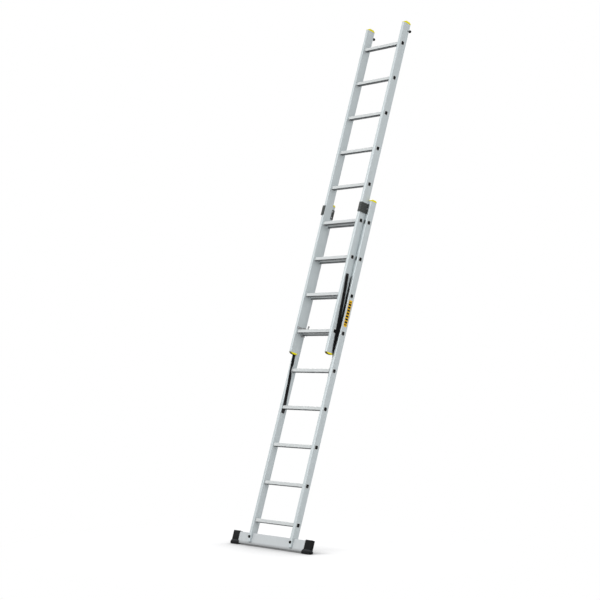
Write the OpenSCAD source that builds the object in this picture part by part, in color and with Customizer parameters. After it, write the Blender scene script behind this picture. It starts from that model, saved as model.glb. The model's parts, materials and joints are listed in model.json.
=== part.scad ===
// Two-section aluminium extension ladder, standing at its working lean.
// Across the ladder is X, along the stiles is U, out towards the climber is N.
// Every module draws in (X, U, N) and lean() stands the result on the floor.

/* [Stance] */
// Angle between the stiles and the floor, degrees
lean_angle = 72.944; // [68:0.001:78]
// Rungs of the base section that stand clear below the upper section
rungs_out = 5; // [5:1:6]
// How far each upper rung sits above the base rung its hook rests on, mm
hook_set = 2; // [1.5:0.5:3]

/* [Sections] */
// Spacing of the rungs along the stiles, mm
rung_pitch = 280; // [270:1:290]
// Overall width across the base section's stiles, mm
base_w = 494; // [480:1:520]
// Overall width across the upper section's stiles, mm
fly_w = 430; // [416:1:432]
// Thickness of a base stile, seen from the front, mm
base_stile_t = 26; // [24:0.5:30]
// Depth of a base stile, seen from the side, mm
base_stile_d = 55; // [50:1:60]
// Thickness of an upper stile, seen from the front, mm
fly_stile_t = 24; // [22:0.5:28]
// Depth of an upper stile, seen from the side, mm
fly_stile_d = 68; // [62:1:72]
// Wall of the stile extrusions, mm
stile_wall = 2; // [1.6:0.1:2.6]
// Radius of a stile's two outer corners, mm
stile_r = 5; // [3:0.5:7]

/* [Rungs] */
// Height of a rung along the stile, mm
rung_h = 27; // [24:0.5:29]
// Depth of a rung, front to back, mm
rung_d = 28; // [25:0.5:28]
// Corner radius of a rung, mm
rung_r = 4.5; // [3:0.5:6]
// Wall of the rung tube, mm
rung_wall = 1.8; // [1.5:0.1:2.5]
// How far the flared rim stands out round the end of a rung, mm
flare_w = 2.4; // [1.5:0.1:3]

/* [Stabiliser] */
// Overall length of the cross bar over its feet, mm
bar_len = 900; // [820:5:1000]
// Height of the cross bar, mm
bar_h = 85; // [75:1:92]
// Depth of the cross bar, mm
bar_d = 20; // [18:1:24]
// Length of a rubber foot along the bar, mm
foot_len = 76; // [60:1:90]

/* [Straps] */
// Width of the webbing, mm
strap_w = 25; // [20:1:28]
// Thickness of the webbing, mm
strap_t = 1.8; // [1.4:0.1:2]

/* [Hidden] */
$fn = 48;
e = 0.01;
rung_count = 9;
// Clearances between pieces
seat_gap = 0.1;
touch_gap = 0.15;
run_gap = 0.05;
hole_gap = 0.1;
guide_gap = 1.4;

// Stiles run on past their first and last rungs by the same length
end_run = 160.5;
rungs_span = (rung_count - 1) * rung_pitch;

// Base section, its rungs' axes at zero
base_x = base_w / 2;
base_in = base_x - base_stile_t;
base_front = 25;
base_back = base_front - base_stile_d;
base_top = rungs_span + end_run;
base_foot = -end_run;
base_cap_h = 17;

// Cross bar, under the stiles' back part and behind their front lip
bar_off = -1;
bar_top = -95;
bar_mid = bar_top - bar_h / 2;
bar_front = bar_off + bar_d / 2;
bar_back = bar_off - bar_d / 2;
bar_wall = 2;
bar_r = 4;
bar_step = 17;
bar_lip = 1.4;

// Upper section
fly_x = fly_w / 2;
fly_in = fly_x - fly_stile_t;
fly_low = rungs_out * rung_pitch + hook_set;
fly_off = 51.7;
fly_front = fly_off + 30.9;
fly_back = fly_front - fly_stile_d;
fly_foot = fly_low - end_run;
fly_top = fly_low + rungs_span + end_run;
fly_mid_x = (fly_in + fly_x) / 2;
fly_cap_h = 18;
fly_foot_cap_h = 15;
cap_bow = 0.64;
cap_side_bow = 1.15;
cap_neck = 11;
cap_lap = 0.6;

// Rung ends
flare_t = 1.2;
bead_w = 2;
bead_t = 2;
groove_w = 1.2;
groove_d = 0.6;
groove_step = 2.8;
plug_head = 3;
plug_h = 26;
plug_d = 20;
plug_r = 5;
plug_neck = 9;

// Feet: the sole is level at the working lean
foot_out = bar_len / 2;
foot_wall = 3;
foot_top = bar_top + 5;
skirt_lip = 8;
skirt_top = -152;
skirt_step = -161;
sole_mid = -186.3;
tread_w = 2.4;
tread_d = 2.5;
tread_step = 8;
bolt_x = 234;
bolt_up = -125;
bolt_d = 8;
bolt_head = 9;
nut_h = 12;

lift = -sole_mid * sin(lean_angle) - bar_off * cos(lean_angle);
reach = -sole_mid * cos(lean_angle) + bar_off * sin(lean_angle);

// Fasteners
rivet_r = 2.4;
rivet_head = 2;
pin_r = 3;

// Guide bracket: a leg in the slot, a tab round the base's corner, a lip over the fly
guide_h = 74;
guide_high = base_top - 25;
guide_low = guide_high - guide_h;
guide_t = 3.9;
guide_leg = base_in - seat_gap;
guide_tab = base_front + touch_gap;
guide_tab_t = 4;
guide_tab_end = base_in + 14;
guide_plate_in = fly_x + plug_head + 1;
guide_plate_out = guide_plate_in + 3.5;
guide_lip = fly_front + guide_gap;
guide_lip_t = 4;
guide_lip_end = fly_in + 4;
guide_rib_w = 3;
guide_rib_h = 1.5;
guide_rib_step = 12.4;
guide_rivet_up = [guide_low + 14, guide_high - 14];
guide_rivet_off = -12;
guide_tab_x = base_in + 8;
guide_tab_up = (guide_low + guide_high) / 2;

// Straps
strap_x = fly_x + plug_head + 0.4;
strap_out = strap_x + strap_t;
strap_top = [[1400, 34], [1680, 50], [1806, 60], [1832, 62]];
strap_path = [
  concat([[864, 4], [890, 5], [1000, 12], [1080, 17], [1104, 24.4], [1136, 25.2],
          [1160, 23], [1220, 25]], strap_top),
  concat([[864, 4], [890, 4], [1000, 7], [1080, 11], [1104, 20.6], [1136, 20.6],
          [1160, 13], [1220, 12.5], [1280, 25]], strap_top)];
strap_half = [
  [1, 1, 1, 1, 0.6, 0.66, 1, 1, 1, 1, 1, 0.9],
  [1, 1, 1, 1, 0.33, 0.33, 0.9, 0.95, 1, 1, 1, 1, 0.9]];
strap_bolt = [1819, 61];
strap_rivet = [871, 4];
strap_rivet_r = 2;
plate_x = strap_x - 2;
plate_t = 1.8;
plate_h = 84;
plate_d = 34;
plate_r = 6;
plate_rung = 3;
tail_off = base_front + 2.7;
tail_path = [[1226, 1, 4], [1300, 1.5, 12], [1420, 1.5, 19], [1560, 1.5, 22],
             [1690, 1, 17], [1790, 0.6, 9], [1822, 0.4, 7]];

// Rung hooks and their latches
hook_t = 3.9;
hook_x = fly_in - seat_gap - hook_t;
hook_seat = rungs_out * rung_pitch + rung_h / 2 + 0.8;
hook_rise = 17;
hook_front = 78;
hook_nose = 22;
hook_tip = 30;
hook_rivet_at = [[fly_low + 26, 33], [fly_low + 26, 70]];
latch_pin = [fly_low - 21, 25];
latch_len = 34;

// Wall buffers
buffer_up = fly_top - 44;
buffer_off = -1;
buffer_d = 22;
buffer_neck = 5.5;
buffer_pin = [fly_top - 55, 25];

alu = [0.78, 0.80, 0.80];
steel = [0.60, 0.61, 0.62];
black = [0.08, 0.09, 0.10];
grey = [0.24, 0.25, 0.24];
yellow = [0.93, 0.84, 0.10];
webbing = [0.05, 0.06, 0.06];

// ---- helpers ----

module lean() {
  translate([0, reach, lift])
    rotate([lean_angle, 0, 0]) children();
}

// right side as drawn, left side as its mirror image
module on_side(s) {
  if (s > 0) children();
  else mirror([1, 0, 0]) children();
}

module both_sides() {
  on_side(1) children();
  on_side(-1) children();
}

// a profile in (X, N), extruded along the stile
module along(u0, u1) {
  translate([0, u0, 0])
    rotate([-90, 0, 0])
      linear_extrude(u1 - u0)
        mirror([0, 1]) children();
}

// a profile in (U, N), extruded across the ladder
module across(x0, x1) {
  translate([x0, 0, 0])
    rotate([90, 0, 90])
      linear_extrude(x1 - x0) children();
}

// a profile in (X, U), extruded towards the climber
module facing(n0, n1) {
  translate([0, 0, n0])
    linear_extrude(n1 - n0) children();
}

// a turned shape whose axis runs across the ladder, profile in (radius, X)
module turned_x(u, n) {
  translate([0, u, n])
    rotate([0, 90, 0]) rotate_extrude() children();
}

// a turned shape whose axis runs front to back, profile in (radius, N)
module turned_n(x, u) {
  translate([x, u, 0]) rotate_extrude() children();
}

module rrect(w, h, r) {
  square([w, h - 2 * r], center = true);
  square([w - 2 * r, h], center = true);
  for (i = [-1, 1])
    for (j = [-1, 1])
      translate([i * (w / 2 - r), j * (h / 2 - r)]) circle(r);
}

module span(a0, a1, b0, b1) {
  translate([a0, b0]) square([a1 - a0, b1 - b0]);
}

// ---- sections ----

// stile outline with big corners on the outer side and small ones inside
module stile_outline(x0, x1, n0, n1, r_out, r_in) {
  span(x0 + r_in, x1 - r_out, n0, n1);
  span(x0, x0 + r_in + e, n0 + r_in, n1 - r_in);
  span(x1 - r_out - e, x1, n0 + r_out, n1 - r_out);
  for (n = [n0 + r_in, n1 - r_in]) translate([x0 + r_in, n]) circle(r_in);
  for (n = [n0 + r_out, n1 - r_out]) translate([x1 - r_out, n]) circle(r_out);
}

module stile_tube(x0, x1, n0, n1) {
  w = stile_wall;
  difference() {
    stile_outline(x0, x1, n0, n1, stile_r, 2.5);
    stile_outline(x0 + w, x1 - w, n0 + w, n1 - w, stile_r - w, 1);
  }
}

module rung_outline(grow) {
  rrect(rung_h + 2 * grow, rung_d + 2 * grow, rung_r + grow);
}

module rung_slots(x0, x1, u0, n) {
  for (i = [0 : rung_count - 1])
    across(x0, x1) translate([u0 + i * rung_pitch, n]) rung_outline(hole_gap);
}

module base_stile() {
  difference() {
    along(base_foot, base_top) stile_tube(base_in, base_x, base_back, base_front);
    // notch that sits down over the cross bar
    across(base_in - 1, base_x + 1)
      span(base_foot - 1, bar_top + seat_gap, base_back - 1, bar_front + seat_gap);
    rung_slots(base_in - 1, base_x + 1, 0, 0);
    turned_n(bolt_x, bolt_up) span(0, bolt_d / 2 + hole_gap, bar_front, base_front + 1);
    for (u = guide_rivet_up)
      turned_x(u, guide_rivet_off) span(0, rivet_r + hole_gap, base_in - 1, base_in + 5);
    turned_n(guide_tab_x, guide_tab_up)
      span(0, rivet_r + hole_gap, base_front - 5, base_front + 1);
  }
}

module fly_stile() {
  difference() {
    along(fly_foot, fly_top) stile_tube(fly_in, fly_x, fly_back, fly_front);
    rung_slots(fly_in - 1, fly_x + 1, fly_low, fly_off);
    for (p = hook_rivet_at)
      turned_x(p[0], p[1]) span(0, rivet_r + hole_gap, fly_in - 1, fly_in + 5);
    turned_x(latch_pin[0], latch_pin[1]) span(0, pin_r + hole_gap, fly_in - 1, fly_in + 5);
    turned_x(strap_bolt[0], strap_bolt[1])
      span(0, pin_r + hole_gap, fly_x - 5, fly_x + 1);
    turned_x(buffer_pin[0], buffer_pin[1])
      span(0, rivet_r + hole_gap, fly_x - 5, fly_x + 1);
    turned_n(fly_mid_x, buffer_up)
      span(0, pin_r + hole_gap, fly_back - 1, fly_back + 5);
  }
}

// ---- rungs ----

module rung_profile() {
  difference() {
    rung_outline(0);
    rrect(rung_h - 2 * rung_wall, rung_d - 2 * rung_wall, rung_r - rung_wall);
    // grip grooves in the tread and the underside
    for (s = [-1, 1])
      for (i = [-3 : 3])
        translate([s * rung_h / 2, i * groove_step])
          square([2 * groove_d, groove_w], center = true);
  }
}

module rung_ring(grow) {
  difference() {
    rung_outline(grow);
    rrect(rung_h - 2 * rung_wall, rung_d - 2 * rung_wall, rung_r - rung_wall);
  }
}

// tube, flared outside each stile and swaged into a bead inside it
module rung(x_out, x_in, u, n) {
  translate([0, u, n]) {
    across(-x_out - flare_t, x_out + flare_t) rung_profile();
    both_sides() {
      across(x_out + 0.02, x_out + flare_t / 2) rung_ring(flare_w);
      across(x_out + 0.02, x_out + flare_t) rung_ring(flare_w / 2);
      across(x_in - bead_t, x_in - 0.02) rung_ring(bead_w);
    }
  }
}

module base_rung(i) {
  rung(base_x, base_in, (i - 1) * rung_pitch, 0);
}

module fly_rung(i) {
  rung(fly_x, fly_in, fly_low + (i - 1) * rung_pitch, fly_off);
}

module rung_plug(x_out) {
  seat = x_out + flare_t + 0.05;
  across(seat, x_out + plug_head - 0.9) rrect(plug_h, plug_d, plug_r);
  across(seat, x_out + plug_head) rrect(plug_h - 2.2, plug_d - 2.2, plug_r - 1.1);
  across(x_out - plug_neck, seat + e)
    rrect(rung_h - 2 * rung_wall - 0.4, plug_d - 1.5, plug_r - 2);
}

module rung_plugs(x_out, u0, n) {
  for (i = [0 : rung_count - 1])
    translate([0, u0 + i * rung_pitch, n]) both_sides() rung_plug(x_out);
}

// ---- stile end caps ----

// crowned head, curved both ways, on a neck that plugs the stile
module stile_cap(x0, x1, n0, n1, u, up, height) {
  xm = (x0 + x1) / 2;
  nm = (n0 + n1) / 2;
  big = (n1 - n0) * cap_bow;
  small = (x1 - x0) * cap_side_bow;
  w = stile_wall + touch_gap;
  translate([0, u, 0]) mirror([0, up > 0 ? 0 : 1, 0]) {
    intersection() {
      along(0.02, height)
        stile_outline(x0 - cap_lap, x1 + cap_lap, n0 - cap_lap, n1 + cap_lap, stile_r, 2.5);
      across(x0 - 2, x1 + 2) translate([height - big, nm]) circle(big, $fn = 96);
      facing(n0 - 2, n1 + 2) translate([xm, height - small]) circle(small, $fn = 96);
    }
    along(-cap_neck, 0.03)
      stile_outline(x0 + w, x1 - w, n0 + w, n1 - w, stile_r - w, 0.8);
  }
}

module base_cap() {
  stile_cap(base_in, base_x, base_back, base_front, base_top, 1, base_cap_h);
}

module fly_cap() {
  stile_cap(fly_in, fly_x, fly_back, fly_front, fly_top, 1, fly_cap_h);
}

module fly_bottom_cap() {
  stile_cap(fly_in, fly_x, fly_back, fly_front, fly_foot, -1, fly_foot_cap_h);
}

// ---- guide brackets at the top of the base section ----

module guide_profile() {
  out = max(guide_leg, guide_plate_out);
  span(guide_leg - guide_t, guide_leg, base_back, guide_tab + guide_tab_t);
  span(min(guide_leg - guide_t, guide_plate_in), guide_tab_end,
       guide_tab, guide_tab + guide_tab_t);
  span(min(guide_leg - guide_t, guide_plate_in), out, guide_tab, guide_tab + guide_tab_t + 1.5);
  span(guide_plate_in, guide_plate_out, guide_tab, guide_lip + guide_lip_t / 2);
  span(guide_lip_end, guide_plate_out - 2, guide_lip, guide_lip + guide_lip_t);
  translate([guide_plate_out - 2, guide_lip + guide_lip_t / 2]) circle(guide_lip_t / 2);
  translate([guide_lip_end, guide_lip + guide_lip_t / 2]) circle(guide_lip_t / 2);
}

module guide_bracket() {
  difference() {
    union() {
      along(guide_low, guide_high) guide_profile();
      for (k = [0 : 5])
        along(guide_low + 4 + k * guide_rib_step, guide_low + 4 + k * guide_rib_step + guide_rib_w)
          span(guide_plate_out - 0.5, guide_plate_out + guide_rib_h, base_front + 8, fly_front);
    }
    for (u = guide_rivet_up)
      turned_x(u, guide_rivet_off) span(0, rivet_r + hole_gap, base_in - 6, base_in + 1);
    turned_n(guide_tab_x, guide_tab_up)
      span(0, rivet_r + hole_gap, base_front - 1, base_front + 6);
  }
}

// flat rivet along X: head at one end, closed tail behind the wall
module rivet_x(u, n, head, head_t, shank_end, tail) {
  turned_x(u, n) {
    span(0, rivet_r, min(head, shank_end), max(head, shank_end));
    span(0, rivet_r + rivet_head, head, head + head_t);
    span(0, rivet_r + 1.2, tail[0], tail[1]);
  }
}

module guide_rivets() {
  back = base_in + stile_wall;
  for (u = guide_rivet_up)
    rivet_x(u, guide_rivet_off, guide_leg - guide_t - 1, 0.95, back + 1.6,
            [back + 0.05, back + 1.6]);
  turned_n(guide_tab_x, guide_tab_up) {
    span(0, rivet_r, base_front - stile_wall - 1.6, guide_tab + guide_tab_t + 1.8);
    span(0, rivet_r + rivet_head, guide_tab + guide_tab_t + 0.05, guide_tab + guide_tab_t + 1.8);
    span(0, rivet_r + 1.2, base_front - stile_wall - 1.6, base_front - stile_wall - 0.05);
  }
}

// ---- pads on the base stiles' front edge, one beside each overlapped rung ----

module glide_pads() {
  for (i = [rungs_out : rung_count - 1])
    facing(base_front + 0.05, base_front + 2.2)
      translate([base_in + 8, i * rung_pitch]) rrect(12, 31, 5.9);
}

// ---- rung hooks, latches and pins at the foot of the upper section ----

module hook_profile() {
  r0 = hook_seat;
  top = r0 + hook_rise;
  back = -rung_d / 2 - 3;
  // riveted strap, above the fly rung's bead
  span(fly_low + 18, fly_low + 34, 22, hook_front);
  span(r0, top, 12, 40);
  span(r0, top, back - 9, 14);
  // nose that drops behind the rung, and the upturned tip behind it
  span(r0 - hook_nose, top + hook_tip, back - 9, back);
  translate([r0 - hook_nose, back - 4.5]) circle(4.5);
  translate([top + hook_tip, back - 6.5]) circle(6.5);
}

module rung_hook() {
  difference() {
    across(hook_x, hook_x + hook_t) difference() {
      hook_profile();
      // clear of the fly rung and its bead
      translate([fly_low, fly_off]) rung_outline(bead_w + 0.8);
    }
    for (p = hook_rivet_at)
      turned_x(p[0], p[1]) span(0, rivet_r + hole_gap, hook_x - 1, hook_x + hook_t + 1);
  }
}

module hook_rivet_pair() {
  for (p = hook_rivet_at)
    rivet_x(p[0], p[1], hook_x - 1.8, 1.75, fly_in + stile_wall + 1.6,
            [fly_in + stile_wall + 0.05, fly_in + stile_wall + 1.6]);
}

// finger that closes under the base rung and swings down to let it go
module hook_latch() {
  u = latch_pin[0];
  n = latch_pin[1];
  difference() {
    across(hook_x + 0.3, fly_in - 0.4) {
      translate([u, n]) circle(6.5);
      span(u - 6.5, u + 3.5, n - latch_len + 4, n);
      translate([u - 2.5, n - latch_len + 4]) circle(4);
      span(u - 11.5, u - 5, n - 16, n + 1);
    }
    turned_x(u, n) span(0, pin_r + run_gap, hook_x - 1, fly_in + 1);
  }
}

module latch_pins() {
  both_sides() turned_x(latch_pin[0], latch_pin[1]) {
    span(0, pin_r, hook_x - 1.6, fly_in + stile_wall + 1.6);
    span(0, pin_r + 2, hook_x - 1.6, hook_x - 0.05);
    span(0, pin_r + 1.2, fly_in + stile_wall + 0.05, fly_in + stile_wall + 1.6);
  }
}

// ---- rubber wall buffers at the top of the upper section ----

module wall_buffer() {
  turned_n(fly_mid_x, buffer_up) {
    intersection() {
      translate([0, buffer_off]) circle(buffer_d / 2);
      span(0, buffer_d, buffer_off - buffer_d, buffer_off + buffer_d);
    }
    span(0, buffer_neck, buffer_off, fly_back - 0.05);
    span(0, pin_r, fly_back - 1, fly_back + stile_wall + 2);
    span(0, pin_r + 1.5, fly_back + stile_wall + 0.05, fly_back + stile_wall + 2);
  }
}

module buffer_pins() {
  both_sides() {
    across(fly_x + 0.05, fly_x + 1.15)
      translate(buffer_pin) rrect(7, 16, 3.4);
    turned_x(buffer_pin[0], buffer_pin[1]) {
      span(0, rivet_r, fly_x - stile_wall - 1.6, fly_x + 0.5);
      span(0, rivet_r + 1.2, fly_x - stile_wall - 1.6, fly_x - stile_wall - 0.05);
    }
  }
}

// ---- webbing straps ----

function dir(p, i) = p[min(i + 1, len(p) - 1)] - p[max(i - 1, 0)];
function side_pt(p, w, i, s) =
  p[i] + s * strap_w / 2 * w[i] * [-dir(p, i)[1], dir(p, i)[0]] / norm(dir(p, i));

// the left strap pulls straight, the right one is eased back behind the stile's edge
module strap(side) {
  p = strap_path[side];
  w = strap_half[side];
  k = len(p) - 1;
  rim = concat([for (i = [0 : k]) side_pt(p, w, i, 1)],
               [for (i = [k : -1 : 0]) side_pt(p, w, i, -1)]);
  difference() {
    across(strap_x, strap_out) polygon(rim);
    turned_x(strap_bolt[0], strap_bolt[1]) span(0, pin_r + hole_gap, strap_x - 1, strap_x + 4);
    turned_x(strap_rivet[0], strap_rivet[1]) span(0, strap_rivet_r + hole_gap, strap_x - 1, strap_x + 4);
  }
}

module strap_tail() {
  k = len(tail_path) - 1;
  facing(tail_off, tail_off + strap_t)
    polygon(concat([for (i = [0 : k]) [base_in + tail_path[i][1], tail_path[i][0]]],
                   [for (i = [k : -1 : 0]) [base_in + tail_path[i][2], tail_path[i][0]]]));
}

// plate slipped round the base rung's end, that the webbing is riveted to
module strap_plate() {
  difference() {
    across(plate_x, plate_x + plate_t) difference() {
      translate([plate_rung * rung_pitch - 2, 0]) rrect(plate_h, plate_d, plate_r);
      translate([plate_rung * rung_pitch, 0]) rung_outline(touch_gap);
      // open in front, so that it slips on to the rung
      translate([plate_rung * rung_pitch, plate_d / 2])
        square([rung_h + 2 * touch_gap - 2 * rung_r, plate_d], center = true);
    }
    turned_x(strap_rivet[0], strap_rivet[1]) span(0, strap_rivet_r + hole_gap, plate_x - 1, plate_x + 4);
  }
}

module strap_rivets() {
  both_sides() turned_x(strap_rivet[0], strap_rivet[1]) {
    span(0, strap_rivet_r, plate_x - 0.85, strap_out + 0.7);
    span(0, 2 * strap_rivet_r, plate_x - 0.85, plate_x - 0.05);
    span(0, 2 * strap_rivet_r, strap_out + 0.05, strap_out + 0.7);
  }
}

module strap_bolts() {
  both_sides() turned_x(strap_bolt[0], strap_bolt[1]) {
    span(0, pin_r, fly_x - stile_wall - 5, strap_out + 2);
    span(0, 5.5, fly_x - stile_wall - 5, fly_x - stile_wall - 0.05);
    span(0, 2 * pin_r, fly_x + 0.05, strap_x - 0.05);
    span(0, 7.5, strap_out + 0.05, strap_out + 2);
    span(0, 4.5, strap_out + 1.9, strap_out + 3.4);
  }
}

// ---- cross bar, feet and bolts ----

// the bar's outline, whose lower edge is a thicker step, grown by a clearance
module bar_outline(grow) {
  translate([bar_mid, bar_off]) {
    rrect(bar_h + 2 * grow, bar_d + 2 * grow, bar_r);
    translate([bar_step / 2 - bar_h / 2, 0])
      rrect(bar_step + 2 * grow, bar_d + 2 * bar_lip + 2 * grow, bar_r / 2);
  }
}

module stabiliser_bar() {
  x = foot_out - foot_wall;
  difference() {
    across(-x, x) difference() {
      bar_outline(0);
      translate([bar_mid, bar_off])
        rrect(bar_h - 2 * bar_wall, bar_d - 2 * bar_wall, bar_r - bar_wall);
    }
    both_sides() turned_n(bolt_x, bolt_up)
      span(0, bolt_d / 2 + hole_gap, bar_back - 1, bar_front + 1);
  }
}

// plan of the foot, grown by the skirt's flare, with full round ends
module foot_plan(grow) {
  long = foot_len + 2 * grow;
  deep = bar_d + 2 * foot_wall + 2 * grow;
  translate([foot_out - foot_len / 2, bar_off])
    rrect(long, deep, grow > 0 ? deep / 2 - 0.5 : 4);
}

// everything above the floor, or above a height over it, as a profile in (U, N)
module over_floor(height) {
  translate((height - lift) * [sin(lean_angle), cos(lean_angle)])
    rotate(90 - lean_angle) translate([0, -bar_len]) square([bar_len, 2 * bar_len]);
}

module bar_foot() {
  x0 = foot_out - foot_len - 2 * skirt_lip;
  x1 = foot_out + 2 * skirt_lip;
  difference() {
    union() {
      along(skirt_top - 4, foot_top) foot_plan(0);
      intersection() {
        union() {
          along(-lift - bar_d, skirt_top) foot_plan(skirt_lip / 2);
          along(-lift - bar_d, skirt_step) foot_plan(skirt_lip);
        }
        // the sole is level when the ladder leans at its working angle
        across(x0, x1) over_floor(0);
      }
    }
    // tread grooves across the sole
    across(x0, x1) translate(-lift * [sin(lean_angle), cos(lean_angle)])
      rotate(90 - lean_angle)
        for (k = [-2 : 2])
          translate([0, reach + k * tread_step]) square([2 * tread_d, tread_w], center = true);
    // socket for the bar's end
    across(x0, foot_out - foot_wall + touch_gap) bar_outline(touch_gap);
  }
}

module bar_bolts() {
  both_sides() turned_n(bolt_x, bolt_up) {
    span(0, bolt_d / 2, bar_back - 3, base_front + nut_h / 2);
    span(0, bolt_head, bar_back - 2.4, bar_back - 0.05);
    span(0, bolt_head - 2.5, bar_back - 4, bar_back - 2.3);
  }
}

// dome-headed nut on its washer
module bar_nut() {
  turned_n(bolt_x, bolt_up) {
    difference() {
      union() {
        span(0, 11, base_front + 0.05, base_front + 1.6);
        span(0, 9, base_front + 1.5, base_front + nut_h / 2);
        intersection() {
          translate([0, base_front + nut_h - 9.6]) circle(9.6);
          span(0, 9, base_front + nut_h / 2 - 1, base_front + nut_h);
        }
      }
      span(-e, bolt_d / 2 + hole_gap, base_front, base_front + nut_h / 2 + 0.3);
    }
  }
}

// ---- nodes ----

module base_stile_left() {
  color(alu) lean() on_side(-1) base_stile();
}

module base_stile_right() {
  color(alu) lean() on_side(1) base_stile();
}

module fly_stile_left() {
  color(alu) lean() on_side(-1) fly_stile();
}

module fly_stile_right() {
  color(alu) lean() on_side(1) fly_stile();
}

module base_rung_1() {
  color(alu) lean() base_rung(1);
}

module base_rung_2() {
  color(alu) lean() base_rung(2);
}

module base_rung_3() {
  color(alu) lean() base_rung(3);
}

module base_rung_4() {
  color(alu) lean() base_rung(4);
}

module base_rung_5() {
  color(alu) lean() base_rung(5);
}

module base_rung_6() {
  color(alu) lean() base_rung(6);
}

module base_rung_7() {
  color(alu) lean() base_rung(7);
}

module base_rung_8() {
  color(alu) lean() base_rung(8);
}

module base_rung_9() {
  color(alu) lean() base_rung(9);
}

module fly_rung_1() {
  color(alu) lean() fly_rung(1);
}

module fly_rung_2() {
  color(alu) lean() fly_rung(2);
}

module fly_rung_3() {
  color(alu) lean() fly_rung(3);
}

module fly_rung_4() {
  color(alu) lean() fly_rung(4);
}

module fly_rung_5() {
  color(alu) lean() fly_rung(5);
}

module fly_rung_6() {
  color(alu) lean() fly_rung(6);
}

module fly_rung_7() {
  color(alu) lean() fly_rung(7);
}

module fly_rung_8() {
  color(alu) lean() fly_rung(8);
}

module fly_rung_9() {
  color(alu) lean() fly_rung(9);
}

module base_rung_plugs() {
  color(black) lean() rung_plugs(base_x, 0, 0);
}

module fly_rung_plugs() {
  color(black) lean() rung_plugs(fly_x, fly_low, fly_off);
}

module base_top_cap_left() {
  color(yellow) lean() on_side(-1) base_cap();
}

module base_top_cap_right() {
  color(yellow) lean() on_side(1) base_cap();
}

module fly_top_cap_left() {
  color(yellow) lean() on_side(-1) fly_cap();
}

module fly_top_cap_right() {
  color(yellow) lean() on_side(1) fly_cap();
}

module fly_foot_cap_left() {
  color(yellow) lean() on_side(-1) fly_bottom_cap();
}

module fly_foot_cap_right() {
  color(yellow) lean() on_side(1) fly_bottom_cap();
}

module guide_bracket_left() {
  color(grey) lean() on_side(-1) guide_bracket();
}

module guide_bracket_right() {
  color(grey) lean() on_side(1) guide_bracket();
}

module bracket_rivets() {
  color(steel) lean() both_sides() guide_rivets();
}

module glide_pad_set() {
  color(grey) lean() both_sides() glide_pads();
}

module rung_hook_left() {
  color(steel) lean() on_side(-1) rung_hook();
}

module rung_hook_right() {
  color(steel) lean() on_side(1) rung_hook();
}

module hook_rivets() {
  color(steel) lean() both_sides() hook_rivet_pair();
}

module hook_latch_left() {
  color(steel) lean() on_side(-1) hook_latch();
}

module hook_latch_right() {
  color(steel) lean() on_side(1) hook_latch();
}

module latch_pin_pair() {
  color(steel) lean() latch_pins();
}

module wall_buffer_left() {
  color(black) lean() on_side(-1) wall_buffer();
}

module wall_buffer_right() {
  color(black) lean() on_side(1) wall_buffer();
}

module buffer_pin_pair() {
  color(grey) lean() buffer_pins();
}

module strap_left() {
  color(webbing) lean() on_side(-1) strap(0);
}

module strap_right() {
  color(webbing) lean() on_side(1) strap(1);
}

module strap_tail_right() {
  color(webbing) lean() strap_tail();
}

module strap_plate_left() {
  color(black) lean() on_side(-1) strap_plate();
}

module strap_plate_right() {
  color(black) lean() on_side(1) strap_plate();
}

module strap_rivet_pair() {
  color(steel) lean() strap_rivets();
}

module strap_bolt_pair() {
  color(steel) lean() strap_bolts();
}

module stabiliser() {
  color(alu) lean() stabiliser_bar();
}

module bar_foot_left() {
  color(black) lean() on_side(-1) bar_foot();
}

module bar_foot_right() {
  color(black) lean() on_side(1) bar_foot();
}

module bar_bolt_pair() {
  color(steel) lean() bar_bolts();
}

module bar_nut_pair() {
  color(black) lean() both_sides() bar_nut();
}

base_stile_left();
base_stile_right();
fly_stile_left();
fly_stile_right();
base_rung_1();
base_rung_2();
base_rung_3();
base_rung_4();
base_rung_5();
base_rung_6();
base_rung_7();
base_rung_8();
base_rung_9();
fly_rung_1();
fly_rung_2();
fly_rung_3();
fly_rung_4();
fly_rung_5();
fly_rung_6();
fly_rung_7();
fly_rung_8();
fly_rung_9();
base_rung_plugs();
fly_rung_plugs();
base_top_cap_left();
base_top_cap_right();
fly_top_cap_left();
fly_top_cap_right();
fly_foot_cap_left();
fly_foot_cap_right();
guide_bracket_left();
guide_bracket_right();
bracket_rivets();
glide_pad_set();
rung_hook_left();
rung_hook_right();
hook_rivets();
hook_latch_left();
hook_latch_right();
latch_pin_pair();
wall_buffer_left();
wall_buffer_right();
buffer_pin_pair();
strap_left();
strap_right();
strap_tail_right();
strap_plate_left();
strap_plate_right();
strap_rivet_pair();
strap_bolt_pair();
stabiliser();
bar_foot_left();
bar_foot_right();
bar_bolt_pair();
bar_nut_pair();
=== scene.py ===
# %% [markdown]
# # A two-section aluminium extension ladder
# The engineering model of the ladder is already made: stiles, rungs, caps, hooks
# and feet, each as its own node. This script loads it as a fixed frame and dresses
# it: soft pieces are modelled here, and every surface gets the finish that the real
# material has.

# %% Load the frame
import json
import math
import bpy
import bmesh
from mathutils import Matrix, Vector


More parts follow.
